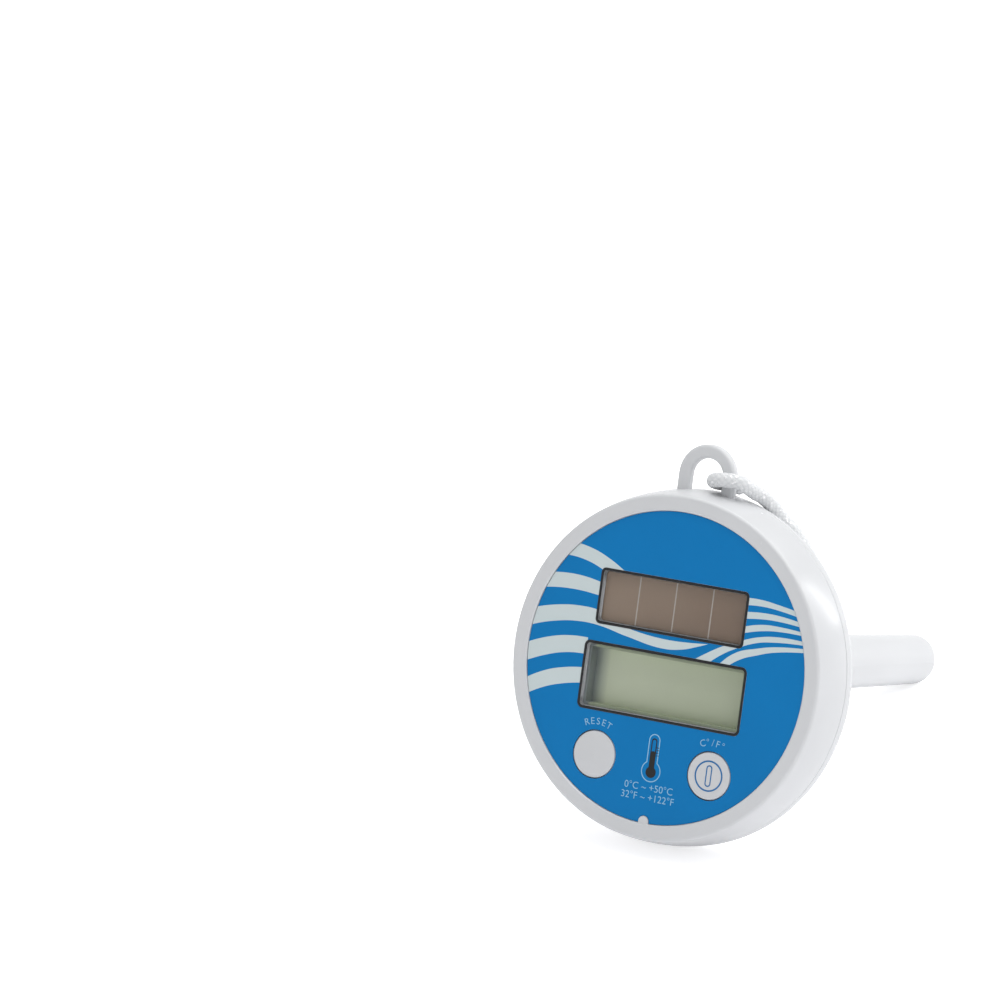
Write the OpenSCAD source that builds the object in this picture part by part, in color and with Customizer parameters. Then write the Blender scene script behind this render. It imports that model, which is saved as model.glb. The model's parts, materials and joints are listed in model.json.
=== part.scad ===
// Solar pool thermometer: a round float head with a display, a stem with the probe and a cord.
// It lies on a table as it does when put down: on the head's rim and on the stem's tip.
// +Z is up, the face looks towards -Y and a little up, and the stem points towards +Y.

/* [Head] */
// Largest diameter of the float head
head_d = 108; // [104:1:112]
// Depth from the label to the seam between the two shells
seam_depth = 14.3; // [13.8:0.1:14.8]
// Depth from the label to the head's widest ring
widest_depth = 16.5; // [16:0.1:17]
// Radius of the outward curve of the head's side
flank_r = 72; // [60:1:90]
// Radius of the rounded edge behind the widest ring
rear_round = 5; // [4.5:0.1:5.5]
// Wall thickness of both shells
wall = 2.4; // [2.2:0.1:2.6]
// How far the front rim stands proud of the label
rim_proud = 0.6; // [0.4:0.1:0.8]

/* [Face] */
// Diameter of the printed label
label_d = 94; // [92:0.5:96]
// Width of the solar window
solar_w = 50.5; // [48:0.5:52]
// Height of the solar window
solar_h = 16.9; // [16:0.1:17.5]
// Height of the solar window's centre above the face centre
solar_up = 18.3; // [18:0.1:18.6]
// Width of the display window
display_w = 55.5; // [54:0.5:56]
// Height of the display window
display_h = 20.6; // [20:0.1:21]
// Height of the display window's centre above the face centre
display_up = -5.9; // [-6.2:0.1:-5.6]
// Diameter of both button caps
button_d = 14.3; // [13.5:0.1:14.5]
// Distance of each button from the face's middle line
button_x = 19.7; // [19:0.1:20.5]
// Height of the buttons above the face centre
button_up = -29.4; // [-30:0.1:-28.8]
// Travel of the buttons
button_travel = 0.8; // [0.5:0.1:1]

/* [Stem] */
// Length from the label to the tip of the stem
total_len = 178; // [170:1:186]
// Radius of the straight neck behind the head
neck_r = 9.2; // [8.8:0.1:9.4]
// Depth at which the straight neck ends and the taper starts
neck_end = 75; // [60:1:85]
// Radius of the stem's round tip
tip_r = 8.1; // [7.8:0.1:8.4]
// Wall thickness of the stem
stem_wall = 1.6; // [1.4:0.1:1.8]

/* [Eye] */
// Outer radius of the tether eye's arch
eye_r = 9.6; // [9.2:0.1:10]
// Width of the eye's bar, seen from the front
eye_bar = 4.2; // [4:0.1:4.4]
// Thickness of the eye from front to back
eye_thick = 3.4; // [3.2:0.1:3.6]
// Height of the eye's top above the face centre
eye_top = 67.8; // [67:0.1:69]
// Depth of the eye's middle behind the label
eye_depth = 12; // [11.8:0.1:12.2]

/* [Cord] */
// Diameter of the braided cord
cord_d = 4.5; // [4:0.1:4.5]
// Radius of the middle of the coil's turns
coil_r = 27; // [25:0.5:28]
// Distance between neighbouring turns
coil_pitch = 4.6; // [4.5:0.05:4.7]

/* [Hidden] */
$fn = 96;

// The head's outline
head_r = head_d / 2;
label_r = label_d / 2;
corner_r = 1.2;
corner_s = corner_r - rim_proud;
lean = asin((widest_depth - corner_s) / (flank_r - corner_r));
corner_x = head_r - flank_r + (flank_r - corner_r) * cos(lean);
seam_angle = asin((widest_depth - seam_depth) / flank_r);
seam_r = head_r - flank_r + flank_r * cos(seam_angle);
seam_edge = 0.25;
rear_x = head_r - rear_round;
back_slope = 6;
back_s = widest_depth + rear_round * cos(back_slope);
back_x = rear_x + rear_round * sin(back_slope);
collar_r = 12.5;
collar_end = 32.6;
collar_root = back_s + (back_x - collar_r) * tan(back_slope);

// The layers behind the label, as depths behind its surface
label_t = 0.5;
window_t = 1.5;
panel_front = window_t + 0.1;
ledge = 1.8;
plate_back = 2.5;
board_front = 9.2;
board_back = 10.8;
display_front = 5.6;
display_back = 7.2;
reflector_back = 7.5;
solar_back = 3.4;
fit_gap = 0.1;
cavity_r = head_r - 3.1;
spigot_r = cavity_r - fit_gap;
spigot_front = 9.8;
seal_depth = 12;
seal_r = 0.85;
seal_ring_r = spigot_r - 0.8;
inner_back = 22.6;

// Screws: four close the shells, four hold the board
screw_ring = 42;
post_r = 3.2;
post_end = 18;
boss_front = 18.1;
boss_back = 20.4;
board_posts = [[33, -6], [-33, -6], [14, 31.5], [-14, 31.5]];
board_post_r = 2.5;
board_r = 40.5;

// The stem
flange_r = 12;
flange_t = 1.8;
flange_back = inner_back;
tip_s = total_len - tip_r;
neck_bore = neck_r + fit_gap;
ballast_s = 118;
ballast_len = 30;
ballast_r = 6.7;
lead_r = 0.55;
lead_x = 1.3;
probe_s = total_len - 13.5;
probe_r = 1.6;
potting_s = total_len - 18;
potting_len = 9;
potting_r = 6.4;

// The pose: the rounded edge of the head and the stem's tip both touch the table
reach = tip_s - widest_depth;
tilt = acos((tip_r - rear_round) / norm([rear_x, reach])) - atan2(reach, rear_x);
face_z = tip_r + tip_s * sin(tilt);
y_front = corner_s * cos(tilt) - corner_x * sin(tilt) - corner_r;
y_back = tip_s * cos(tilt) + tip_r;
face_y = -(y_front + y_back) / 2;

cord_r = cord_d / 2;
cord_sides = 10;

// The coil: four columns and four rows of turns, and the knot at the cord's end on top of it
coil_x = -44;
coil_y = 2;
coil_w = 3 * coil_pitch + cord_d;
tie_w = 3.2;
tie_t = 0.9;
tie_angle = 100;
knot_d = 9.2;

// The hitch round the eye's right leg, from the short cut end that is tucked behind the leg, in
// the head's own frame
hitch = [
    [9.9, -55.75, 16.1], [8.7, -56.1, 16.7], [7.4, -56.2, 16.8], [5.4, -56.4, 16.3],
    [3.8, -56.6, 14.8], [2.9, -56.8, 12.5], [2.9, -57.1, 10.6], [4, -57.5, 8.8], [6, -57.9, 8],
    [8.5, -58.1, 7.95]
];

// The cord's route, in the frame of the part: from the hitch over the head's edge, behind the
// head, over the stem's neck and down to the coil, and its end from the coil's outer turn to the
// knot
route = [
    [8.5, -53.6, 110.1], [12, -52.55, 109.8], [13.5, -50.5, 108], [14.5, -47.5, 105.5],
    [16, -45, 103.5], [18, -43, 100.5], [21, -42, 96.5], [24.5, -42, 93.5], [27.5, -42.5, 90.5],
    [30, -43.5, 88], [32, -44, 85], [34, -44.5, 81.5], [34, -45, 78], [33, -44, 74.5],
    [30, -42.5, 71.5], [26, -40.5, 69], [21.5, -38, 66.5], [16, -36.5, 63.5], [9.5, -35.5, 59.5],
    [3, -35, 57], [-3, -34.5, 56.5], [-8, -34.5, 53.5], [-11, -34.5, 49.5], [-12, -34, 44.5],
    [-12, -33, 38], [-13, -32, 30], [-13.5, -31, 22], [-14.5, -29.5, 14], [-15.5, -27.5, 7.5],
    [-16.5, -23, 3.5], [-15, -17, 2.5], [-12, -9.5, 2.5]
];
end_route = [
    [-13, -12, 16], [-11, -6, 18], [-11, 1, 20.5], [-13, 8, 21], [-17, 14.5, 21],
    [-22.5, 20.5, 21.5]
];

shell_white = [0.93, 0.93, 0.94];
board_green = [0.1, 0.35, 0.2];

function arc(cx, cy, r, a0, a1, n) =
    [for (i = [0:n]) let (a = a0 + (a1 - a0) * i / n) [cx + r * cos(a), cy + r * sin(a)]];
function unit(v) = v / norm(v);
function heading(p, i) = unit(p[min(i + 1, len(p) - 1)] - p[max(i - 1, 0)]);
function carry(p, i = 0, side = [0.3, 0.2, 1], out = []) =
    i == len(p) ? out
    : let (t = heading(p, i), s = unit(side - (side * t) * t)) carry(p, i + 1, s, concat(out, [s]));

// Puts a part that is drawn in the head's own frame into the resting pose.
// In that frame z is the depth behind the label, x points to the right and y down the face.
module posed() {
    translate([0, face_y, face_z]) rotate([-90 - tilt, 0, 0]) children();
}

// Moves a part across the face: right by x and up by up
module on_face(x, up, depth = 0) {
    translate([x, -up, depth]) children();
}

module rounded(w, h, r) {
    square([w - 2 * r, h], center = true);
    square([w, h - 2 * r], center = true);
    for (sx = [-1, 1], sy = [-1, 1])
        translate([sx * (w / 2 - r), sy * (h / 2 - r)]) circle(r = r);
}

module slab(w, h, r, t) {
    linear_extrude(t) rounded(w, h, r);
}

module ring(outer, inner, t) {
    difference() {
        cylinder(r = outer, h = t);
        translate([0, 0, -1]) cylinder(r = inner, h = t + 2);
    }
}

module torus(ring_r, r) {
    rotate_extrude() translate([ring_r, 0]) circle(r = r, $fn = 48);
}

module tube_along(points, r, sides) {
    n = len(points);
    side = carry(points);
    rings = [for (i = [0:n - 1], k = [0:sides - 1])
        let (t = heading(points, i), a = 360 * k / sides)
        points[i] + r * (cos(a) * side[i] + sin(a) * cross(t, side[i]))];
    walls = [for (i = [0:n - 2], k = [0:sides - 1])
        [i * sides + k, i * sides + (k + 1) % sides,
         (i + 1) * sides + (k + 1) % sides, (i + 1) * sides + k]];
    caps = [[for (k = [sides - 1:-1:0]) k], [for (k = [0:sides - 1]) (n - 1) * sides + k]];
    polyhedron(points = rings, faces = concat(walls, caps), convexity = 4);
}

// The tether eye: a half ring of a rounded bar, on two legs that run down into the head's side
module eye() {
    bar_x = eye_r - eye_bar / 2;
    on_face(0, eye_top - eye_r, eye_depth) {
        rotate([0, 0, 180]) rotate_extrude(angle = 180) translate([bar_x, 0]) eye_section();
        for (sx = [-1, 1])
            translate([sx * bar_x, 0, 0]) rotate([-90, 0, 0])
                linear_extrude(eye_top - eye_r - cavity_r - 1) eye_section();
    }
}

module eye_section() {
    rounded(eye_bar, eye_thick, 1.1);
}

module key_tab(grow = 0) {
    key_r = 1.65 + grow;
    on_face(0, -(label_r - 0.45)) circle(r = key_r);
    on_face(0, -(label_r + 0.65)) square([2 * key_r, 2.2], center = true);
}

module front_shell() {
    pocket_r = label_r + 0.2;
    profile = concat(
        [[0, label_t], [pocket_r, label_t], [pocket_r, 0.3 - rim_proud], [pocket_r + 0.4, -rim_proud]],
        arc(corner_x, corner_s, corner_r, -90, -lean, 8),
        arc(head_r - flank_r, widest_depth, flank_r, -lean, -seam_angle - 0.25, 12),
        [[seam_r - seam_edge, seam_depth], [cavity_r, seam_depth], [cavity_r, plate_back],
         [0, plate_back]]);
    color(shell_white) posed() {
        difference() {
            union() {
                rotate_extrude($fn = 144) polygon(profile);
                for (a = [0, 90, 180, 270])
                    rotate([0, 0, a]) translate([screw_ring, 0, plate_back - 0.5])
                        cylinder(r = post_r, h = post_end - plate_back + 0.5);
                for (p = board_posts)
                    on_face(p[0], p[1], plate_back - 0.5)
                        cylinder(r = board_post_r, h = board_front - plate_back + 0.5);
                translate([0, 0, -0.3]) linear_extrude(1) intersection() {
                    key_tab();
                    circle(r = pocket_r + 0.2);
                }
                eye_on_shell();
            }
            on_face(0, solar_up, -1)
                slab(solar_w - ledge, solar_h - ledge, 1, plate_back + 2);
            on_face(0, display_up, -1)
                slab(display_w - ledge, display_h - ledge, 1, plate_back + 2);
            on_face(0, solar_up, -1) slab(solar_w + 0.2, solar_h + 0.2, 1.6, window_t + 1);
            on_face(0, display_up, -1) slab(display_w + 0.2, display_h + 0.2, 1.9, window_t + 1);
            for (sx = [-1, 1])
                on_face(sx * button_x, button_up, -1) cylinder(d = button_d + 0.6, h = plate_back + 2);
            for (a = [0, 90, 180, 270])
                rotate([0, 0, a]) translate([screw_ring, 0, post_end - 9]) cylinder(r = 1.25, h = 10);
            for (p = board_posts)
                on_face(p[0], p[1], board_front - 5) cylinder(r = 0.9, h = 6);
        }
    }
}

// The eye cut off at the cavity, so that its legs end in the shell's wall
module eye_on_shell() {
    difference() {
        eye();
        translate([0, 0, plate_back]) cylinder(r = cavity_r + 0.5, h = seam_depth);
    }
}

module rear_shell() {
    profile = concat(
        [[spigot_r, seam_depth], [seam_r - seam_edge, seam_depth],
         [seam_r, seam_depth + seam_edge], [head_r, widest_depth - 0.4]],
        arc(rear_x, widest_depth, rear_round, 0, 90 - back_slope, 12),
        [[collar_r + 1.5, collar_root - 0.1], [collar_r, collar_root + 1.4],
         [collar_r, collar_end - 0.6], [collar_r - 0.6, collar_end], [neck_bore, collar_end],
         [neck_bore, inner_back], [13.5, inner_back]],
        arc(rear_x, widest_depth, rear_round - wall, 90 - back_slope, 0, 6),
        [[spigot_r - 2.2, widest_depth], [spigot_r - 2.2, spigot_front], [spigot_r, spigot_front],
         [spigot_r, seal_depth - 1], [spigot_r - 1.7, seal_depth - 1],
         [spigot_r - 1.7, seal_depth + 1], [spigot_r, seal_depth + 1]]);
    color(shell_white) posed() difference() {
        union() {
            rotate_extrude($fn = 144) polygon(profile);
            for (a = [0, 90, 180, 270])
                rotate([0, 0, a]) translate([screw_ring, 0, boss_front])
                    cylinder(r = 4.4, h = boss_back - boss_front + 1);
        }
        for (a = [0, 90, 180, 270])
            rotate([0, 0, a]) translate([screw_ring, 0, boss_front - 1]) {
                cylinder(r = 1.7, h = 8);
                translate([0, 0, boss_back - boss_front + 1]) cylinder(r = 3.3, h = 6);
            }
        translate([0, 0, collar_end - 5]) ring(neck_bore + 1.4, neck_bore - 1, 2);
    }
}

module face_label() {
    color([0.1, 0.45, 0.73]) posed() linear_extrude(label_t - 0.02) difference() {
        circle(r = label_r, $fn = 144);
        on_face(0, solar_up) rounded(solar_w + 0.2, solar_h + 0.2, 1.6);
        on_face(0, display_up) rounded(display_w + 0.2, display_h + 0.2, 1.9);
        for (sx = [-1, 1])
            on_face(sx * button_x, button_up) circle(d = button_d + 0.6);
        key_tab(0.15);
    }
}

module solar_window() {
    color([0.6, 0.65, 0.68, 0.4]) posed() on_face(0, solar_up) slab(solar_w, solar_h, 1.5, window_t);
}

module display_window() {
    color([0.6, 0.65, 0.68, 0.4]) posed()
        on_face(0, display_up) slab(display_w, display_h, 1.8, window_t);
}

module solar_panel() {
    color([0.35, 0.27, 0.23]) posed()
        on_face(0, solar_up, panel_front)
            slab(solar_w - ledge - 0.2, solar_h - ledge - 0.2, 0.9, solar_back - panel_front);
}

module solar_leads() {
    color("firebrick") posed()
        for (sx = [-1, 1])
            on_face(sx * 20, solar_up, solar_back) cylinder(r = 0.6, h = board_front - solar_back);
}

module display_frame() {
    color([0.08, 0.08, 0.09]) posed() on_face(0, display_up, panel_front) difference() {
        union() {
            slab(display_w - ledge - 0.2, display_h - ledge - 0.2, 0.9, 1.5);
            translate([0, 0, plate_back - panel_front])
                slab(display_w + 1.5, display_h + 1.5, 1, display_front - plate_back);
        }
        translate([0, 0, -1]) slab(display_w - 3.6, display_h - 3.6, 0.6, display_front + 1);
    }
}

module display_glass() {
    color([0.62, 0.66, 0.55]) posed() on_face(0, display_up, display_front)
        slab(display_w + 1.1, display_h + 1, 0.3, display_back - display_front);
}

module display_reflector() {
    color([0.8, 0.8, 0.76]) posed() on_face(0, display_up, display_back)
        slab(display_w + 0.5, display_h - 3, 0.3, reflector_back - display_back);
}

module zebra_strips() {
    color([0.2, 0.2, 0.22]) posed()
        for (sy = [-1, 1])
            on_face(0, display_up + sy * 9.7, display_back)
                translate([-26, -0.9, 0]) cube([52, 1.8, board_front - display_back]);
}

module circuit_board() {
    color(board_green) posed() difference() {
        translate([0, 0, board_front]) cylinder(r = board_r, h = board_back - board_front);
        for (a = [0, 90, 180, 270])
            rotate([0, 0, a]) translate([screw_ring, 0, board_front - 1]) cylinder(r = 3.8, h = 4);
        for (p = board_posts)
            on_face(p[0], p[1], board_front - 1) cylinder(r = 1.2, h = 4);
    }
}

module screw(shank_r, shank_len, head_r, head_t) {
    cylinder(r = shank_r, h = shank_len);
    translate([0, 0, shank_len]) difference() {
        cylinder(r = head_r, h = head_t);
        for (a = [0, 90])
            rotate([0, 0, a]) translate([-0.7 * head_r, -0.35, head_t / 2]) cube([1.4 * head_r, 0.7, head_t]);
    }
}

module board_screws() {
    color("silver") posed()
        for (p = board_posts)
            on_face(p[0], p[1], board_back - 5.5) screw(0.88, 5.5, 2, 1.2);
}

module controller_chip() {
    color([0.07, 0.07, 0.08]) posed() on_face(14, -8, board_back) {
        cylinder(r = 6, h = 1);
        translate([0, 0, 1]) cylinder(r1 = 6, r2 = 3.5, h = 0.8);
    }
}

module storage_capacitor() {
    color([0.15, 0.15, 0.2]) posed() on_face(-18, 6, board_back) cylinder(r = 6.5, h = 5.5);
}

// Each switch's hollow lets its plunger in to the whole of its travel
module switch_bodies() {
    side = 6.2;
    color([0.12, 0.12, 0.13]) posed()
        for (sx = [-1, 1])
            on_face(sx * button_x, button_up, board_front - 3.5) difference() {
                translate([-side / 2, -side / 2, 0]) cube([side, side, 3.5]);
                translate([0, 0, -1]) cylinder(r = 1.8, h = button_travel + 2.2);
            }
}

// A cap with its flange behind the face plate and a short stem on its back
module button_cap(crown) {
    r = button_d / 2;
    profile = concat(
        [[0, -crown]],
        [for (k = [1:6]) let (x = (r - 0.5) * k / 6) [x, -crown * (1 - pow(k / 6, 2))]],
        [[r - 0.15, 0.1], [r, 0.45], [r, 2.6], [r + 1.4, 2.6], [r + 1.4, 3.4], [2, 3.4], [2, 4.1], [0, 4.1]]);
    rotate_extrude() polygon(profile);
}

module reset_button() {
    color(shell_white) posed() on_face(-button_x, button_up) button_cap(0.5);
}

module unit_button() {
    color(shell_white) posed() on_face(button_x, button_up) button_cap(0.1);
}

module plunger() {
    translate([0, 0, 4.1]) cylinder(r = 1.7, h = 1.9);
}

module reset_plunger() {
    color([0.7, 0.15, 0.12]) posed() on_face(-button_x, button_up) plunger();
}

module unit_plunger() {
    color([0.7, 0.15, 0.12]) posed() on_face(button_x, button_up) plunger();
}

module button_seals() {
    color([0.3, 0.3, 0.32]) posed()
        for (sx = [-1, 1])
            on_face(sx * button_x, button_up, plate_back) ring(10.8, button_d / 2 + 1.8, 2);
}

module body_seal() {
    color([0.15, 0.15, 0.15]) posed() translate([0, 0, seal_depth]) torus(seal_ring_r, seal_r);
}

module shell_screws() {
    color("silver") posed()
        for (a = [0, 90, 180, 270])
            rotate([0, 0, a]) translate([screw_ring, 0, boss_back - 10]) screw(1.2, 10, 3, 1.4);
}

module stem_tube() {
    bore_neck = neck_r - stem_wall;
    bore_tip = tip_r - stem_wall;
    flange_front = flange_back - flange_t;
    profile = concat(
        [[bore_neck, flange_front], [flange_r, flange_front], [flange_r, flange_back],
         [neck_r, flange_back], [neck_r, neck_end]],
        arc(0, tip_s, tip_r, 0, 90, 14),
        arc(0, tip_s, bore_tip, 90, 0, 10),
        [[bore_neck, neck_end]]);
    color(shell_white) posed() rotate_extrude($fn = 96) polygon(profile);
}

module stem_seal() {
    color([0.15, 0.15, 0.15]) posed()
        translate([0, 0, collar_end - 4]) torus(neck_r + 0.62, 0.6);
}

module ballast_weight() {
    color("gray") posed() translate([0, 0, ballast_s]) ring(ballast_r, 2.8, ballast_len);
}

module temperature_probe() {
    color([0.1, 0.1, 0.1]) posed() translate([0, 0, probe_s]) {
        cylinder(r = probe_r, h = 6);
        translate([0, 0, 6]) sphere(r = probe_r, $fn = 48);
    }
}

module probe_potting() {
    color([0.75, 0.7, 0.6]) posed() translate([0, 0, potting_s]) difference() {
        cylinder(r = potting_r, h = potting_len);
        translate([0, 0, probe_s - potting_s - 0.05]) cylinder(r = probe_r + 0.05, h = potting_len);
        for (sx = [-1, 1])
            translate([sx * lead_x, 0, -1]) cylinder(r = lead_r + 0.05, h = potting_len);
    }
}

module probe_leads() {
    color("firebrick") posed()
        for (sx = [-1, 1])
            translate([sx * lead_x, 0, board_back]) cylinder(r = lead_r, h = probe_s - board_back);
}

// The turn of cord round the eye's right leg, with its short cut tail on the head's side
module cord_hitch() {
    color("white") posed() tube_along(hitch, cord_r, cord_sides);
}

module cord_run() {
    color("white") tube_along(route, cord_r, cord_sides);
}

// The band of the tie round the coil's section, grown outwards for the groove that holds it
module tie_band(grow = 0) {
    translate([coil_x, coil_y, 0]) rotate([0, 0, tie_angle])
        translate([coil_r, (tie_w + grow) / 2, coil_w / 2]) rotate([90, 0, 0]) difference() {
            slab(coil_w + grow, coil_w + grow, cord_r, tie_w + grow);
            translate([0, 0, -1])
                slab(coil_w - 2 * tie_t, coil_w - 2 * tie_t, cord_r - tie_t, tie_w + grow + 2);
        }
}

module cord_coil() {
    color("white") difference() {
        translate([coil_x, coil_y, 0]) rotate_extrude()
            translate([coil_r, coil_w / 2]) rounded(coil_w, coil_w, cord_r);
        tie_band(0.4);
    }
}

module coil_tie() {
    color([0.2, 0.3, 0.45]) tie_band();
}

module cord_end() {
    color("white") tube_along(end_route, cord_r, cord_sides);
}

module end_knot() {
    color("white") translate([end_route[5][0], end_route[5][1], coil_w + knot_d / 2])
        sphere(d = knot_d, $fn = 48);
}

front_shell();
rear_shell();
face_label();
solar_window();
display_window();
solar_panel();
solar_leads();
display_frame();
display_glass();
display_reflector();
zebra_strips();
circuit_board();
board_screws();
controller_chip();
storage_capacitor();
switch_bodies();
reset_button();
unit_button();
reset_plunger();
unit_plunger();
button_seals();
body_seal();
shell_screws();
stem_tube();
stem_seal();
ballast_weight();
temperature_probe();
probe_potting();
probe_leads();
cord_hitch();
cord_run();
cord_coil();
coil_tie();
cord_end();
end_knot();
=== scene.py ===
"""The looks of a floating solar pool thermometer: its cord, printed face, plastics and light."""
import json
import math

import bpy
from mathutils import Matrix, Vector


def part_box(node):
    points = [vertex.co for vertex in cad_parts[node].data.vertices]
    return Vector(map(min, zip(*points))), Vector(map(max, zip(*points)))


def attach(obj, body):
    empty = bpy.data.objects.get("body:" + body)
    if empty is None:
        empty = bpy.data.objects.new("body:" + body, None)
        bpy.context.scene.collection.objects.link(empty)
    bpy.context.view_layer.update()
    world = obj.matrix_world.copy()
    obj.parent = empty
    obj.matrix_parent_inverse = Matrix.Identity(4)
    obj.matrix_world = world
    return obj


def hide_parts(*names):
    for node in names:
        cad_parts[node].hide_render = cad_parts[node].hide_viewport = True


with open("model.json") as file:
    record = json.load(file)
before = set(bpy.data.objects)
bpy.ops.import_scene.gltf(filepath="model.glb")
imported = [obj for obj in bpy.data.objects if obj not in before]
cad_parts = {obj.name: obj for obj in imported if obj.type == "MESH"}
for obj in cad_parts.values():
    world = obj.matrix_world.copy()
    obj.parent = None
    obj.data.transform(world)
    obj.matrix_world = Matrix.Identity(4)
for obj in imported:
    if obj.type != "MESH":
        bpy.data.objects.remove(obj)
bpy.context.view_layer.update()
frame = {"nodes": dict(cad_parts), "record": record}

MM = 0.001
LABEL_THICK = 0.48

# The face's own frame: right and up across the label, and the stem's direction into the head
eye_mount = next(m for m in frame["record"]["mounts"] if m["name"] == "tether_eye")
STEM = Vector(eye_mount["axis"]).normalized()
RIGHT = Vector((1, 0, 0))
UP = RIGHT.cross(STEM)
label_low, label_high = (Vector(corner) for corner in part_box("face_label"))
FACE = (label_low + label_high) / 2 - STEM * LABEL_THICK / 2 * MM


def on_face(x, up, out=0.0):
    """The point right by x and up by up on the label, and out in front of it, in millimetres."""
    return FACE + (RIGHT * x + UP * up - STEM * out) * MM


def tone(red, green, blue):
    """A linear colour from the usual 0 to 255 values."""
    parts = [value / 255 for value in (red, green, blue)]
    return tuple(p / 12.92 if p <= 0.04045 else ((p + 0.055) / 1.055) ** 2.4 for p in parts)


# ---------------------------------------------------------------- camera

# Azimuth, elevation and roll in degrees, the lens in millimetres, and metres from the face's centre
CAMERA_ANGLES = (31.3, 18.07, -1.06)
CAMERA_LENS = 198.7
CAMERA_BACK, CAMERA_LEFT, CAMERA_UP = 1.65553, 0.04878, 0.05002


def make_camera():
    """The photograph's viewpoint."""
    azimuth, elevation, roll = (math.radians(angle) for angle in CAMERA_ANGLES)
    level = Vector((math.cos(azimuth), math.sin(azimuth), 0))
    ahead = Vector((-math.sin(azimuth) * math.cos(elevation),
                    math.cos(azimuth) * math.cos(elevation), -math.sin(elevation)))
    over = level.cross(ahead)
    right = level * math.cos(roll) + over * math.sin(roll)
    up = over * math.cos(roll) - level * math.sin(roll)
    data = bpy.data.cameras.new("camera")
    data.sensor_width = 36
    data.lens = CAMERA_LENS
    data.clip_start = 0.05
    data.clip_end = 50
    camera = bpy.data.objects.new("camera", data)
    place = FACE - ahead * CAMERA_BACK - right * CAMERA_LEFT + up * CAMERA_UP
    axes = Matrix((right, up, -ahead)).transposed().to_4x4()
    camera.matrix_world = Matrix.Translation(place) @ axes
    bpy.context.collection.objects.link(camera)
    bpy.context.scene.camera = camera


# ---------------------------------------------------------------- materials

class Look:
    """A material being built: its Principled shader, and short calls that add nodes to it."""

    def __init__(self, name, color, rough, **sockets):
        self.material = bpy.data.materials.new(name)
        self.material.use_nodes = True
        self.tree = self.material.node_tree
        self.shader = self.tree.nodes["Principled BSDF"]
        self.set("Base Color", (*color, 1))
        self.set("Roughness", rough)
        for socket, value in sockets.items():
            self.set(socket.replace("_", " "), value)

    def put(self, value, socket):
        if isinstance(value, bpy.types.NodeSocket):
            self.tree.links.new(value, socket)
        else:
            socket.default_value = value

    def set(self, socket, value):
        self.put(value, self.shader.inputs[socket])

    def node(self, kind, inputs=(), **settings):
        made = self.tree.nodes.new("ShaderNode" + kind)
        for key, value in settings.items():
            setattr(made, key, value)
        for key, value in dict(inputs).items():
            self.put(value, made.inputs[key])
        return made

    def math(self, operation, *values):
        return self.node("Math", enumerate(values), operation=operation).outputs[0]

    def place(self):
        return self.node("TexCoord").outputs["Object"]

    def noise(self, scale, detail=3.0):
        inputs = {"Vector": self.place(), "Scale": scale, "Detail": detail}
        return self.node("TexNoise", inputs).outputs["Fac"]

    def across(self, direction):
        """How far a point of the object lies along a direction from the face's centre, in mm."""
        offset = self.node("VectorMath", {0: self.place(), 1: FACE}, operation="SUBTRACT")
        inputs = {0: offset.outputs[0], 1: direction / MM}
        return self.node("VectorMath", inputs, operation="DOT_PRODUCT").outputs["Value"]

    def ramp(self, value, low, high, to_low=0.0, to_high=1.0):
        inputs = {"Value": value, "From Min": low, "From Max": high,
                  "To Min": to_low, "To Max": to_high}
        return self.node("MapRange", inputs).outputs[0]

    def blend(self, factor, first, second):
        made = self.node("Mix", {0: factor}, data_type="RGBA")
        for index, value in ((6, first), (7, second)):
            self.put((*value, 1) if isinstance(value, tuple) else value, made.inputs[index])
        return made.outputs[2]

    def bump(self, height, depth_mm, strength=1.0):
        inputs = {"Height": height, "Distance": depth_mm * MM, "Strength": strength}
        self.set("Normal", self.node("Bump", inputs).outputs[0])


def darker(color, factor):
    return tuple(part * factor for part in color)


def moulded(name, color, rough, grain=1500, depth_mm=0.01, **sockets):
    """Moulded plastic: a faint unevenness of tone and gloss over a fine surface grain."""
    look = Look(name, color, rough, **sockets)
    cloud = look.noise(35, 4)
    look.set("Base Color", look.blend(look.ramp(cloud, 0.35, 0.7), color, darker(color, 0.97)))
    smear = look.noise(140, 5)
    look.set("Roughness", look.ramp(smear, 0.3, 0.75, rough * 0.9, rough * 1.15))
    look.bump(look.noise(grain, 2), depth_mm, 0.25)
    return look.material


def brushed(name, color, rough):
    look = Look(name, color, rough, Metallic=1.0)
    scratches = look.noise(2600, 2)
    look.set("Roughness", look.ramp(scratches, 0.3, 0.7, rough * 0.7, rough * 1.4))
    look.bump(scratches, 0.01, 0.3)
    return look.material


BLUE = tone(8, 123, 190)
PALE = tone(206, 217, 218)

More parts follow.
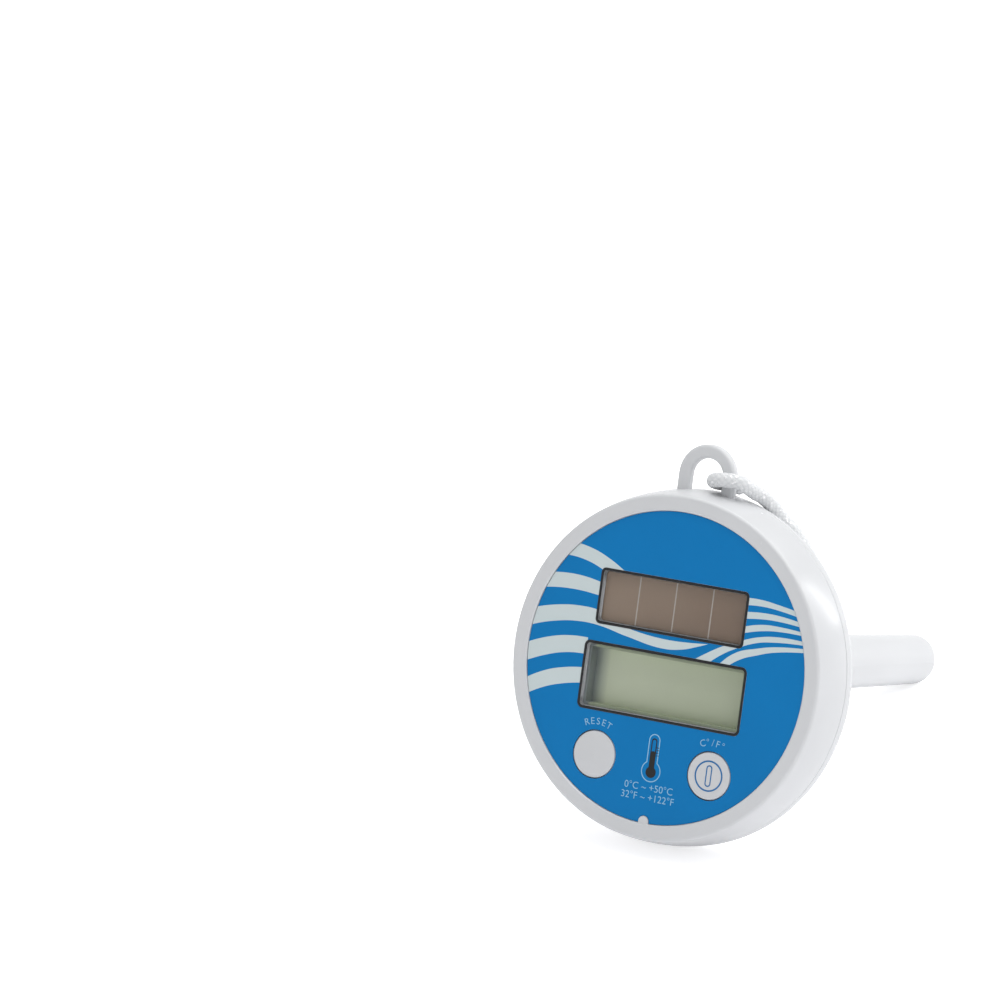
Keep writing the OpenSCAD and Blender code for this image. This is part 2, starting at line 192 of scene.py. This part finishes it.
# The printed waves: lower edge, upper edge, and the stretch across the face where each is seen
WAVE_REACH = 50
WAVES = [
    ([(-40, 28.6), (-32, 28.2), (-24, 25.6)], [(-38, 33), (-30, 32), (-24, 30), (-17, 26.4)],
     (-50, -16)),
    ([(-46, 17.5), (-36, 18.7), (-24, 18)], [(-46, 22), (-35, 23.3), (-24, 22)], (-50, -24)),
    ([(-48, 5.5), (-40, 8), (-31, 9.4), (-24, 9.2), (-14, 7.4), (-1, 5.7), (5, 6.4), (10, 8), (15, 10)],
     [(-48, 10.8), (-40, 13), (-31, 14.1), (-24, 13.6), (-14, 9.9), (18, 9.9)], (-50, 15)),
    ([(-48, -5.5), (-40, -2.2), (-34, -0.6), (-27, 0)], [(-48, 0.3), (-40, 3.3), (-34, 4.6), (-27, 5)],
     (-50, -27)),
    ([(-48, -16.5), (-40, -12.2), (-34, -10.2), (-27, -8.8)],
     [(-48, -11.2), (-40, -7), (-34, -5.2), (-27, -4.1)], (-50, -27)),
    ([(25, 23), (30, 23.3), (35, 23), (45, 21.4)], [(25, 25.2), (30, 25.2), (35, 24.6), (45, 23)],
     (25, 50)),
    ([(25, 18.9), (31, 19.6), (36, 19.7), (45, 19)], [(25, 21), (32, 21.5), (37, 21.3), (45, 20.2)],
     (25, 50)),
    ([(25, 14.6), (31, 16.1), (36, 16.7), (45, 16.7)], [(25, 16.6), (31, 18), (36, 18.2), (45, 17.7)],
     (25, 50)),
    ([(15, 4.3), (19, 7.3), (22.5, 9.3), (30, 12.4), (35, 13.3), (45, 14)],
     [(10, 4.4), (14.5, 7.3), (18, 9.3), (26, 12.8), (30, 14.1), (35, 15), (45, 15.1)], (10, 50)),
    ([(21, 4), (25.7, 7), (30, 8.6), (35, 10.2), (45, 11.8)],
     [(18, 4), (23.4, 8.5), (30, 10.7), (35, 11.9), (45, 13)], (18, 50)),
]


def share(value):
    """Where a place within the waves' reach lies, from 0 to 1."""
    return (value + WAVE_REACH) / (2 * WAVE_REACH)


def edge_curve(look, value, points):
    """A smooth printed edge through points, for a value that runs over the face from 0 to 1."""
    made = look.node("FloatCurve", {"Value": value})
    curve = made.mapping.curves[0]
    places = [(share(x), share(up)) for x, up in points]
    curve.points[0].location = places[0]
    curve.points[1].location = places[-1]
    for x, up in places[1:-1]:
        curve.points.new(x, up)
    made.mapping.update()
    return made.outputs[0]


def printed_label():
    look = Look("printed_label", BLUE, 0.33, Specular_IOR_Level=0.15)
    x = look.ramp(look.across(RIGHT), -WAVE_REACH, WAVE_REACH)
    up = look.ramp(look.across(UP), -WAVE_REACH, WAVE_REACH)
    pale = 0.0
    for low, high, (left, right) in WAVES:
        band = look.math("GREATER_THAN", up, edge_curve(look, x, low))
        band = look.math("MULTIPLY", band, look.math("LESS_THAN", up, edge_curve(look, x, high)))
        band = look.math("MULTIPLY", band, look.math("GREATER_THAN", x, share(left)))
        band = look.math("MULTIPLY", band, look.math("LESS_THAN", x, share(right)))
        pale = look.math("MAXIMUM", pale, band)
    ink = look.blend(look.ramp(look.noise(25, 3), 0.3, 0.7), BLUE, darker(BLUE, 0.93))
    look.set("Base Color", look.blend(pale, ink, PALE))
    look.set("Roughness", look.ramp(look.noise(160, 4), 0.3, 0.75, 0.28, 0.42))
    look.bump(look.math("ADD", look.noise(1800, 2), pale), 0.01, 0.4)
    return look.material


def solar_cell():
    """Brown thin-film cell: four strips with pale lines between them and a faint fine grid, with
    painted shade that darkens it towards the bottom right.
    """
    brown = tone(134, 120, 109)
    look = Look("solar_cell", brown, 0.3)
    x = look.across(RIGHT)
    up = look.across(UP)
    strip = 12.5
    near_edge = look.math("LESS_THAN", look.math("PINGPONG", x, strip / 2), 0.2)
    inside = look.math("LESS_THAN", look.math("ABSOLUTE", x), 1.6 * strip)
    line = look.math("MULTIPLY", near_edge, inside)
    # Painted shade: a ramp across the face that makes the cell darker towards the right and the bottom
    painted_shade = look.ramp(look.math("ADD", x, look.math("MULTIPLY", up, -1.2)), -40, 30)
    body = look.blend(painted_shade, tone(159, 140, 123), tone(120, 100, 85))
    body = look.blend(look.ramp(look.noise(60, 4), 0.3, 0.7, 0, 0.3), body, tone(138, 116, 100))
    look.set("Base Color", look.blend(line, body, tone(190, 182, 174)))
    look.bump(look.math("PINGPONG", up, 0.25), 0.01, 0.15)
    return look.material


def display_panel():
    """Blank reflective liquid crystal glass, with a painted shadow of the frame along its left edge and
    painted shade that darkens it towards the bottom right.
    """
    look = Look("display_panel", tone(165, 176, 152), 0.4)
    x = look.across(RIGHT)
    # Painted shadow: the frame's shadow on the glass, grey along its left edge
    frame_shadow = look.ramp(x, -25.8, -21.2)
    # Painted shade: the glass is lighter at the top left and darker at the bottom right
    painted_shade = look.ramp(look.math("SUBTRACT", x, look.across(UP)), -25, 45)
    body = look.blend(painted_shade, tone(218, 226, 200), tone(194, 202, 177))
    body = look.blend(look.ramp(look.noise(30, 3), 0.3, 0.7, 0, 0.25), body, tone(200, 210, 180))
    look.set("Base Color", look.blend(frame_shadow, tone(140, 148, 146), body))
    look.set("Roughness", look.ramp(look.noise(220, 3), 0.3, 0.7, 0.35, 0.45))
    return look.material


def display_surround():
    """The collar round the display: pale like the glass, and a cool grey along its left side that is
    painted shadow on that wall.
    """
    look = Look("display_surround", tone(150, 160, 140), 0.5)
    # Painted shadow: the collar's left wall is coloured darker, as it lies in shade
    left = look.ramp(look.across(RIGHT), -25.2, -24.2)
    body = look.blend(look.ramp(look.noise(40, 3), 0.3, 0.7), tone(172, 182, 154), tone(160, 170, 144))
    look.set("Base Color", look.blend(left, tone(132, 139, 138), body))
    look.bump(look.noise(1500, 2), 0.01, 0.3)
    return look.material


def clear_window():
    """Clear plastic that lets the light through, with a thin gloss and faint smears."""
    look = Look("clear_window", tone(60, 64, 66), 0.08, Alpha=0.06, IOR=1.49)
    look.set("Roughness", look.ramp(look.noise(90, 4), 0.35, 0.7, 0.06, 0.16))
    return look.material


BRAID_GROOVE = 0.06
GLINT_FROM = 0.86


def braided_cord():
    """White braid: diamond pillows from two sets of crossing strands, with glittering threads."""
    look = Look("braided_cord", tone(222, 223, 224), 0.6, Sheen_Weight=0.04, Sheen_Roughness=0.4)
    parts = look.node("SeparateXYZ", {0: look.node("TexCoord").outputs["UV"]}).outputs
    around, along = parts[0], parts[1]
    first = look.math("SINE", look.math("MULTIPLY", look.math("ADD", around, along), math.pi))
    second = look.math("SINE", look.math("MULTIPLY", look.math("SUBTRACT", around, along), math.pi))
    pillow = look.math("ABSOLUTE", look.math("MULTIPLY", first, second))
    pillow = look.math("POWER", pillow, 0.45)
    thread = look.math("PINGPONG", look.math("MULTIPLY", look.math("ADD", around, along), 3.0), 0.5)
    # The glints are partly painted: a near-white colour on random spots, with a real metallic gloss
    # that catches the lamps
    flakes = look.node("TexVoronoi", {"Vector": look.place(), "Scale": 1500.0})
    chance = look.node("SeparateColor", {0: flakes.outputs["Color"]}).outputs[0]
    spot = look.math("GREATER_THAN", chance, GLINT_FROM)
    glint = look.math("MULTIPLY", spot, look.math("GREATER_THAN", pillow, 0.5))
    # Painted shade: the grooves between the braid's pillows are coloured darker, over their real relief
    body = look.blend(pillow, tone(212, 214, 216), tone(229, 230, 231))
    look.set("Base Color", look.blend(glint, body, tone(252, 252, 253)))
    look.set("Metallic", look.math("MULTIPLY", glint, 0.4))
    look.set("Roughness", look.ramp(glint, 0, 1, 0.6, 0.25))
    height = look.math("ADD", pillow, look.math("MULTIPLY", thread, 0.25))
    look.bump(height, BRAID_GROOVE, 0.8)
    return look.material


def woven(name, color):
    look = Look(name, color, 0.75, Sheen_Weight=0.3)
    weave = look.node("TexWave", {"Vector": look.place(), "Scale": 900.0, "Distortion": 2.0})
    # Painted shade: the weave's low bands are darker, over the real relief of its bump
    look.set("Base Color", look.blend(weave.outputs["Fac"], darker(color, 0.6), color))
    look.bump(weave.outputs["Fac"], 0.1, 0.6)
    return look.material


# ---------------------------------------------------------------- meshes

def add_piece(name, verts, faces, material, body, smooth=True):
    mesh = bpy.data.meshes.new(name)
    mesh.from_pydata([tuple(v) for v in verts], [], faces)
    mesh.materials.append(material)
    mesh.polygons.foreach_set("use_smooth", [smooth] * len(mesh.polygons))
    piece = bpy.data.objects.new(name, mesh)
    bpy.context.collection.objects.link(piece)
    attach(piece, body)
    return piece


def smooth_line(points, step):
    """Points about a step apart on a smooth curve through the given ones."""
    line = []
    ends = [points[0]] + list(points) + [points[-1]]
    for a, b, c, d in zip(ends, ends[1:], ends[2:], ends[3:]):
        count = max(1, round((c - b).length / step))
        for k in range(count):
            t = k / count
            line.append(0.5 * (2 * b + (c - a) * t + (2 * a - 5 * b + 4 * c - d) * t * t
                               + (3 * b - a - 3 * c + d) * t ** 3))
    return line + [points[-1]]


def carried_frames(line):
    """A side and an upward unit vector at each point of a line, carried along without twist."""
    side = Vector((0.3, 0.2, 1))
    frames = []
    for i, point in enumerate(line):
        ahead = (line[min(i + 1, len(line) - 1)] - line[max(i - 1, 0)]).normalized()
        side = (side - ahead * side.dot(ahead)).normalized()
        frames.append((side, ahead.cross(side)))
    return frames


def sweep(line, sides, radius_at):
    """Vertices and faces of a tube with closed ends; radius_at(i, turn) is in metres."""
    verts = []
    for i, (point, (side, up)) in enumerate(zip(line, carried_frames(line))):
        for k in range(sides):
            angle = 2 * math.pi * k / sides
            spoke = side * math.cos(angle) + up * math.sin(angle)
            verts.append(point + spoke * radius_at(i, k / sides))
    faces = []
    for i in range(len(line) - 1):
        for k in range(sides):
            n = (k + 1) % sides
            faces.append((i * sides + k, i * sides + n, (i + 1) * sides + n, (i + 1) * sides + k))
    last = (len(line) - 1) * sides
    faces.append(tuple(range(sides - 1, -1, -1)))
    faces.append(tuple(range(last, last + sides)))
    return verts, faces


# ---------------------------------------------------------------- cord

CORD_R = 2.25
STRANDS = 8
BRAID_RELIEF = 0.15
# How long one diamond of the braid is along the cord
CELL = 2 * math.pi * CORD_R / STRANDS
# How far apart the cord's points lie where it is in view, and where it is stored
SEEN_STEP, STORED_STEP = 0.4, 1.3

# From the cut end tucked behind the eye's right leg, round the leg to its front: x, up, depth
HITCH = [
    (9.9, 55.75, 16.1), (8.7, 56.1, 16.7), (7.4, 56.2, 16.8), (5.4, 56.4, 16.3), (3.8, 56.6, 14.8),
    (2.9, 56.8, 12.5), (2.9, 57.1, 10.6), (4, 57.5, 8.8), (6, 57.9, 8),
]
# The route in the frame of the part: over the rim, behind the head and down to the coil
ROUTE = [
    (8.5, -53.6, 110.1), (12, -52.55, 109.8), (13.5, -50.5, 108), (14.5, -47.5, 105.5),
    (16, -45, 103.5), (18, -43, 100.5), (21, -42, 96.5), (24.5, -42, 93.5), (27.5, -42.5, 90.5),
    (30, -43.5, 88), (32, -44, 85), (34, -44.5, 81.5), (34, -45, 78), (33, -44, 74.5),
    (30, -42.5, 71.5), (26, -40.5, 69), (21.5, -38, 66.5), (16, -36.5, 63.5), (9.5, -35.5, 59.5),
    (3, -35, 57), (-3, -34.5, 56.5), (-8, -34.5, 53.5), (-11, -34.5, 49.5), (-12, -34, 44.5),
    (-12, -33, 38), (-13, -32, 30), (-13.5, -31, 22), (-14.5, -29.5, 14), (-15.5, -27.5, 7.5),
    (-16.5, -23, 3.5), (-15, -17, 2.5),
]
# From the end of the coil's last turn up onto its top, to the knot
END_ROUTE = [
    (-13, -12, 16), (-11, -6, 18), (-11, 1, 20.5), (-13, 8, 21), (-17, 14.5, 21),
]
COIL_X, COIL_Y, COIL_R, COIL_PITCH = -44, 2, 27, 4.6
COIL_START = -20
COLUMNS, ROWS = 4, 4
COIL_MIDDLE = CORD_R + 0.05 + (ROWS - 1) / 2 * COIL_PITCH
TIE_ANGLE = 100
TIE_PINCH = 0.12
KNOT_SIZE, KNOT_RISE, KNOT_TURN = 1.75, 2.15, 107.8


def coil_line():
    """The coil's turns: each row runs across the columns, out and back, and then steps up."""
    places = []
    for row in range(ROWS):
        order = range(COLUMNS - 1, -1, -1) if row % 2 == 0 else range(COLUMNS)
        height = CORD_R + 0.05 + row * COIL_PITCH
        places += [(COIL_R + (column - (COLUMNS - 1) / 2) * COIL_PITCH, height) for column in order]
    per_turn = 48
    line = []
    for i in range(per_turn * len(places) - 1):
        turn, part = divmod(i / per_turn, 1)
        here = places[int(turn)]
        after = places[min(int(turn) + 1, len(places) - 1)]
        move = max(0.0, (part - 0.75) / 0.25)
        move = move * move * (3 - 2 * move)
        radius = here[0] + (after[0] - here[0]) * move
        height = here[1] + (after[1] - here[1]) * move
        angle = COIL_START + 360 * (turn + part)
        from_tie = (angle - TIE_ANGLE + 180) % 360 - 180
        keep = 1 - TIE_PINCH * math.exp(-(from_tie / 9) ** 2)
        radius = COIL_R + (radius - COIL_R) * keep
        height = COIL_MIDDLE + (height - COIL_MIDDLE) * keep
        angle = math.radians(angle)
        line.append(Vector((COIL_X + radius * math.cos(angle), COIL_Y + radius * math.sin(angle),
                            height)))
    return line


def knot_line():
    """An overhand knot on top of the coil: a loose trefoil that the cord enters and leaves."""
    low, high = (Vector(corner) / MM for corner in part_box("end_knot"))
    centre = (low + high) / 2
    turned = Matrix.Rotation(math.radians(KNOT_TURN), 3, "Z")
    line = []
    for k in range(29):
        t = 0.3 + (2 * math.pi - 0.6) * k / 28
        flat = Vector((math.sin(t) + 2 * math.sin(2 * t), math.cos(t) - 2 * math.cos(2 * t), 0))
        flat *= KNOT_SIZE
        line.append(centre + turned @ flat + Vector((0, 0, -KNOT_RISE * math.sin(3 * t))))
    leaving = (line[-1] - line[-2]).normalized()
    line.append(line[-1] + leaving * 3)
    line.append(line[-1] + leaving * 4 - Vector((0, 0, 1.2)))
    return line


def make_cord(material):
    hitch = [on_face(x, up, -depth) / MM for x, up, depth in HITCH]
    seen = smooth_line(hitch + [Vector(p) for p in ROUTE], SEEN_STEP)
    storage = [seen[-1]] + coil_line() + [Vector(p) for p in END_ROUTE] + knot_line()
    stored = smooth_line(storage, STORED_STEP)
    line = seen + stored[1:]
    walked = [0.0]
    for a, b in zip(line, line[1:]):
        walked.append(walked[-1] + (b - a).length)

    def radius_at(i, turn):
        """The braid's relief where the cord is in view, and rounded cut ends."""
        to_end = min(walked[i], walked[-1] - walked[i])
        ends = math.sqrt(max(0.0, 1 - (1 - min(1.0, to_end / 1.2)) ** 2))
        a = turn * STRANDS + walked[i] / CELL
        b = turn * STRANDS - walked[i] / CELL
        pillow = abs(math.sin(math.pi * a) * math.sin(math.pi * b)) ** 0.5
        relief = BRAID_RELIEF if i < len(seen) else 0.0
        return (CORD_R - relief * (0.75 - pillow)) * (0.35 + 0.65 * ends) * MM

    sides = 40
    points = [p * MM for p in line]
    verts, faces = sweep(points, sides, radius_at)
    piece = add_piece("tether_cord", verts, faces, material, "housing")
    layer = piece.data.uv_layers.new(name="braid")
    for polygon in piece.data.polygons:
        for loop in polygon.loop_indices:
            ring, k = divmod(piece.data.loops[loop].vertex_index, sides)
            wrap = 1 if k == 0 and polygon.index % sides == sides - 1 else 0
            layer.data[loop].uv = ((k / sides + wrap) * STRANDS, walked[ring] / CELL)
    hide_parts("cord_hitch", "cord_run", "cord_coil", "cord_end", "end_knot")
    return piece, points


def make_tie(material):
    """Three turns of thin string round the coil's section."""
    angle = math.radians(TIE_ANGLE)
    out = Vector((math.cos(angle), math.sin(angle), 0))
    along = Vector((-math.sin(angle), math.cos(angle), 0))
    string_r = 0.45
    bend_at = (COLUMNS - 1) / 2 * COIL_PITCH * (1 - TIE_PINCH)
    corner = CORD_R + 0.3
    outline = []
    for quarter, (sx, sz) in enumerate(((1, 1), (-1, 1), (-1, -1), (1, -1))):
        for k in range(7):
            a = math.radians(90 * quarter + 15 * k)
            outline.append((sx * bend_at + corner * math.cos(a), sz * bend_at + corner * math.sin(a)))
    count = len(outline)
    turns = 3
    pitch = 0.95
    line = []
    for i in range(turns * count + 1):
        x, z = outline[i % count]
        shift = (i / count - turns / 2) * pitch
        centre = Vector((COIL_X, COIL_Y, COIL_MIDDLE)) + out * COIL_R
        line.append((centre + out * x + Vector((0, 0, z)) + along * shift) * MM)
    verts, faces = sweep(line, 12, lambda i, turn: string_r * MM)
    piece = add_piece("coil_string", verts, faces, material, "housing")
    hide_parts("coil_tie")
    return piece


# ---------------------------------------------------------------- printed and fitted details

def rounded_outline(width, height, radius, steps=8):
    points = []
    for quarter, (sx, sy) in enumerate(((1, 1), (-1, 1), (-1, -1), (1, -1))):
        for k in range(steps + 1):
            a = math.pi / 2 * (quarter + k / steps)
            points.append((sx * (width / 2 - radius) + radius * math.cos(a),
                           sy * (height / 2 - radius) + radius * math.sin(a)))
    return points


def circle_outline(radius, steps=64):
    return [(radius * math.cos(2 * math.pi * k / steps), radius * math.sin(2 * math.pi * k / steps))
            for k in range(steps)]


def bulb_outline(half_width, top, bulb_r, bulb_up, steps=40):
    """A thermometer's outline: a tube with a round top that runs into a bulb."""
    neck = math.asin(half_width / bulb_r)
    points = [(half_width * math.cos(math.pi * k / 16),
               top - half_width + half_width * math.sin(math.pi * k / 16)) for k in range(17)]
    points += [(bulb_r * math.sin(-neck - (2 * math.pi - 2 * neck) * k / steps),
                bulb_up + bulb_r * math.cos(-neck - (2 * math.pi - 2 * neck) * k / steps))
               for k in range(steps + 1)]
    return points


def solid_print(name, centre, outline, out, thick, material, body):
    """A thin flat solid with the given outline, lying on the face at out."""
    n = len(outline)
    verts = [on_face(centre[0] + x, centre[1] + up, level)
             for level in (out, out + thick) for x, up in outline]
    faces = [tuple(range(n - 1, -1, -1)), tuple(range(n, 2 * n))]
    faces += [(k, (k + 1) % n, n + (k + 1) % n, n + k) for k in range(n)]
    return add_piece(name, verts, faces, material, body, smooth=False)


def ring_print(name, centre, outer, inner, out, thick, material, body, round_edge=0.0):
    """A flat closed ring between two outlines with the same number of points."""
    n = len(outer)

    def shrunk(outline, other):
        return [(x + (ox - x) * round_edge, up + (ou - up) * round_edge)
                for (x, up), (ox, ou) in zip(outline, other)]

    soft = thick * 0.35 if round_edge else 0.0
    loops = [(outer, out), (outer, out + thick - soft), (shrunk(outer, inner), out + thick),
             (shrunk(inner, outer), out + thick), (inner, out + thick - soft), (inner, out)]
    verts = [on_face(centre[0] + x, centre[1] + up, level)
             for outline, level in loops for x, up in outline]
    faces = []
    for j in range(len(loops)):
        after = (j + 1) % len(loops)
        for k in range(n):
            m = (k + 1) % n
            faces.append((j * n + k, j * n + m, after * n + m, after * n + k))
    return add_piece(name, verts, faces, material, body, smooth=False)


def face_text(name, words, x, up, height, material, turn=0.0):
    """Raised printed lettering, as tall as height, centred on a place of the face."""
    data = bpy.data.curves.new(name, "FONT")
    data.body = words
    data.size = height * 1.4 * MM
    data.align_x = "CENTER"
    data.align_y = "CENTER"
    data.extrude = 0.015 * MM
    data.offset = -0.012 * MM
    data.resolution_u = 4
    data.materials.append(material)
    piece = bpy.data.objects.new(name, data)
    bpy.context.collection.objects.link(piece)
    upright = Matrix((RIGHT, UP, -STEM)).transposed().to_4x4()
    place = Matrix.Translation(on_face(x, up, 0.02))
    piece.matrix_world = place @ upright @ Matrix.Rotation(turn, 4, "Z")
    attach(piece, "housing")
    return piece


def arc_text(name, words, centre, radius, spacing, height, material):
    """Letters along an arc over a button."""
    for k, letter in enumerate(words):
        turn = (len(words) / 2 - 0.5 - k) * spacing / radius
        face_text(f"{name}_{k + 1}", letter, centre[0] - radius * math.sin(turn),
                  centre[1] + radius * math.cos(turn), height, material, turn)


BUTTON_X, BUTTON_UP = 19.7, -29.4
# How far prints stand clear of the label's surface
PRINT_OUT = 0.005


def make_face_details(black, ink, mark):
    """Window borders, the thermometer sign, button marks and plain lettering."""
    for name, up, width, height, radius in (("solar_bezel", 18.3, 50.5, 16.9, 1.5),
                                            ("display_bezel", -5.9, 55.5, 20.6, 1.8)):
        outer = rounded_outline(width + 0.1, height + 0.1, radius)
        inner = rounded_outline(width - 1.5, height - 1.5, radius * 0.6)
        ring_print(name, (0, up), outer, inner, PRINT_OUT, 0.08, black, "housing", 0.2)
    sign = (0.2, 0)
    ring_print("sign_outline", sign, bulb_outline(1.9, -20, 3.3, -31.3),
               bulb_outline(1.6, -20.3, 3.0, -31.3), PRINT_OUT, 0.02, ink, "housing")
    ring_print("sign_tube", sign, bulb_outline(0.95, -21.3, 1.7, -31.6),
               bulb_outline(0.6, -21.7, 1.3, -31.6), PRINT_OUT, 0.02, black, "housing")
    solid_print("sign_fluid", sign, bulb_outline(0.9, -25.2, 1.72, -31.6), PRINT_OUT, 0.03, black,
                "housing")
    for k in range(4):
        tick = [(-0.4, -0.12), (0.4, -0.12), (0.4, 0.12), (-0.4, 0.12)]
        solid_print(f"sign_tick_{k + 1}", (1.75 if k % 2 else 1.6, -24 - 0.8 * k), tick, PRINT_OUT,
                    0.02, black, "housing")
    unit = (BUTTON_X, BUTTON_UP)
    ring_print("unit_ring", unit, circle_outline(4.7), circle_outline(4.2), 0.04, 0.045, mark,
               "unit_key")
    ring_print("unit_slot", unit, rounded_outline(2.0, 6.5, 0.95), rounded_outline(1.25, 5.75, 0.6),
               0.07, 0.05, mark, "unit_key")
    arc_text("reset_letter", "RESET", (-BUTTON_X, BUTTON_UP), 9.9, 1.95, 2.1, ink)
    arc_text("unit_letter", "C°/F°", (BUTTON_X, BUTTON_UP), 9.9, 1.7, 2.1, ink)
    face_text("range_celsius", "0°C ~ +50°C", 0.2, -36.4, 2.2, ink)
    face_text("range_fahrenheit", "32°F ~ +122°F", 0.2, -39.4, 2.2, ink)


# ---------------------------------------------------------------- CAD nodes

def dress(material, *nodes):
    for name in nodes:
        piece = frame["nodes"][name]
        for slot in piece.material_slots:
            slot.material = material


def dress_cad_nodes(white, black, key_white):
    dress(white, "front_shell", "rear_shell", "stem_tube")
    dress(key_white, "reset_button", "unit_button")
    dress(printed_label(), "face_label")
    dress(clear_window(), "solar_window", "display_window")
    dress(solar_cell(), "solar_panel")
    dress(display_panel(), "display_glass")
    dress(display_surround(), "display_frame")
    dress(black, "controller_chip", "switch_bodies", "temperature_probe")
    dress(moulded("seal_rubber", tone(38, 38, 40), 0.6, 900, 0.05),
          "body_seal", "stem_seal", "zebra_strips")
    dress(moulded("seal_grey", tone(95, 96, 100), 0.6, 900, 0.05), "button_seals")
    dress(moulded("solder_mask", tone(24, 92, 52), 0.35, 600, 0.03), "circuit_board")
    dress(moulded("capacitor_sleeve", tone(38, 40, 62), 0.35), "storage_capacitor")
    dress(moulded("plunger_red", tone(170, 40, 30), 0.45), "reset_plunger", "unit_plunger")
    dress(moulded("wire_red", tone(165, 42, 36), 0.5), "solar_leads", "probe_leads")
    dress(moulded("reflective_film", tone(205, 205, 198), 0.3), "display_reflector")
    dress(moulded("potting_resin", tone(196, 186, 160), 0.4), "probe_potting")
    dress(brushed("zinc_steel", tone(190, 192, 195), 0.3), "shell_screws", "board_screws")
    dress(brushed("plain_steel", tone(140, 140, 142), 0.4), "ballast_weight")


# ---------------------------------------------------------------- floor and light

# The floor's own glow as the camera sees it, which lifts the shadows, and as the object is lit by it
GLOW_SEEN, GLOW_CAST = 0.56, 0.17


def make_floor():
    look = Look("pale_floor", tone(246, 246, 247), 0.65, Emission_Color=(1, 1, 1, 1))
    seen = look.node("LightPath").outputs["Is Camera Ray"]
    look.set("Emission Strength", look.ramp(seen, 0, 1, GLOW_CAST, GLOW_SEEN))
    look.set("Base Color", look.blend(look.ramp(look.noise(3, 2), 0.3, 0.7), tone(247, 247, 248),
                                      tone(243, 243, 245)))
    size = 6.0
    mesh = bpy.data.meshes.new("floor")
    mesh.from_pydata([(-size, -size, 0), (size, -size, 0), (size, size, 0), (-size, size, 0)], [],
                     [(0, 1, 2, 3)])
    mesh.materials.append(look.material)
    floor = bpy.data.objects.new("floor", mesh)
    bpy.context.collection.objects.link(floor)


def add_light(name, place, target, power, size, height):
    data = bpy.data.lights.new(name, "AREA")
    data.shape = "RECTANGLE"
    data.size = size
    data.size_y = height
    data.energy = power
    light = bpy.data.objects.new(name, data)
    light.location = place
    light.rotation_mode = "QUATERNION"
    light.rotation_quaternion = (Vector(target) - Vector(place)).to_track_quat("-Z", "Y")
    bpy.context.collection.objects.link(light)


def make_lights():
    head = (0, -0.06, 0.06)
    add_light("top_softbox", (0.35, 0.25, 1.5), head, 27, 2.0, 2.0)
    add_light("right_strip", (0.68, 1.12, 0.4), (0.05, -0.05, 0.09), 1.4, 0.07, 0.48)


def make_sky():
    """Even light from above that turns white towards the horizon, like the floor."""
    world = bpy.data.worlds.new("world")
    world.use_nodes = True
    tree = world.node_tree
    sky = tree.nodes["Background"]
    sky.inputs["Color"].default_value = (0.98, 0.99, 1, 1)
    direction = tree.nodes.new("ShaderNodeTexCoord")
    height = tree.nodes.new("ShaderNodeSeparateXYZ")
    fade = tree.nodes.new("ShaderNodeMapRange")
    fade.interpolation_type = "SMOOTHSTEP"
    for socket, value in (("From Min", 0.1), ("From Max", 0.25), ("To Min", 0.96), ("To Max", 0.45)):
        fade.inputs[socket].default_value = value
    tree.links.new(direction.outputs["Generated"], height.inputs[0])
    tree.links.new(height.outputs["Z"], fade.inputs["Value"])
    tree.links.new(fade.outputs[0], sky.inputs["Strength"])
    bpy.context.scene.world = world
    bpy.context.scene.view_settings.view_transform = "Standard"


make_camera()
cord, cord_path = make_cord(braided_cord())
tie = make_tie(woven("tie_string", tone(70, 96, 140)))

shell_white = moulded("shell_white", tone(214, 215, 217), 0.24, IOR=1.5)
button_white = moulded("button_white", tone(212, 213, 215), 0.32)
satin_black = moulded("satin_black", tone(15, 16, 18), 0.42)
pale_ink = moulded("pale_ink", tone(146, 194, 223), 0.4)
blue_ink = moulded("blue_ink", tone(28, 108, 168), 0.4)
dress_cad_nodes(shell_white, satin_black, button_white)
make_face_details(satin_black, pale_ink, blue_ink)
make_floor()
make_lights()
make_sky()
